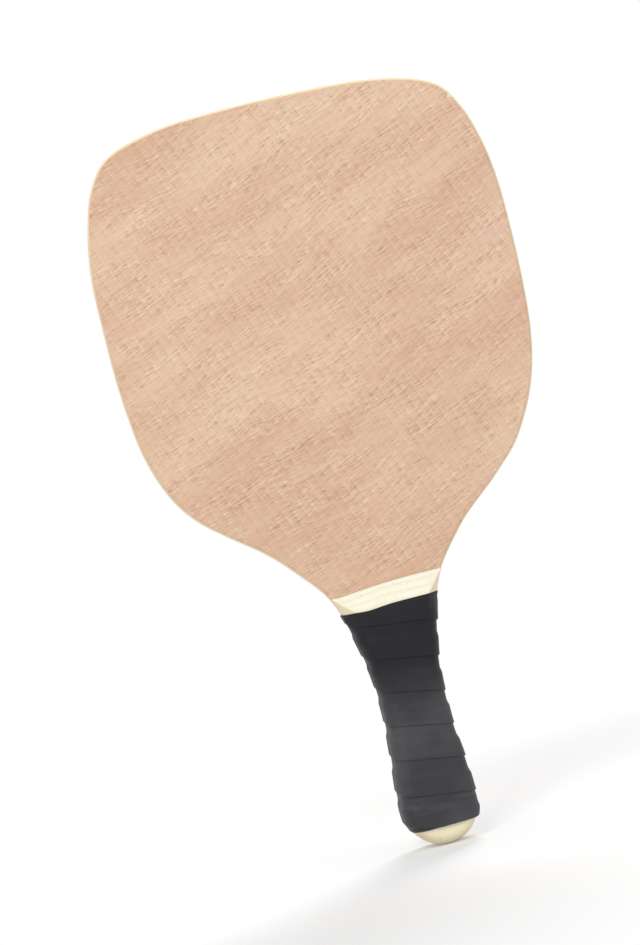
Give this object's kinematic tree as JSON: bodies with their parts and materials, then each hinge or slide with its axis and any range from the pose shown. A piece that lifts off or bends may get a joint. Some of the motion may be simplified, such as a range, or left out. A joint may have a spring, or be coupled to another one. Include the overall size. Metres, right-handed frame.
{
  "type": "frescobol racket",
  "caption": "Wooden beach racket with a rounded plywood blade, pale wood handle scales and a black spiral grip tape.",
  "frame": {"origin": "middle of the butt's lowest edge, at the bottom centre of the bounding box", "axes": "+Z along the racket from the butt to the blade's tip, +X across the blade, -Y out of the front face"},
  "size_m": [0.25, 0.0316, 0.45],
  "materials": {
    "face_veneer": "fine open-pored veneer, matt lacquer",
    "cross_band": "sanded ply edge",
    "core": "sanded ply edge",
    "scale": "sanded pale softwood, matt",
    "tape": "smooth black polyurethane tape, soft sheen"
  },
  "bodies": {
    "root": {"core_ply": "core", "front_cross_band": "cross_band", "rear_cross_band": "cross_band", "front_face_veneer": "face_veneer", "rear_face_veneer": "face_veneer", "front_handle_scale": "scale", "rear_handle_scale": "scale", "grip_tape": "tape"}
  },
  "joints": []
}
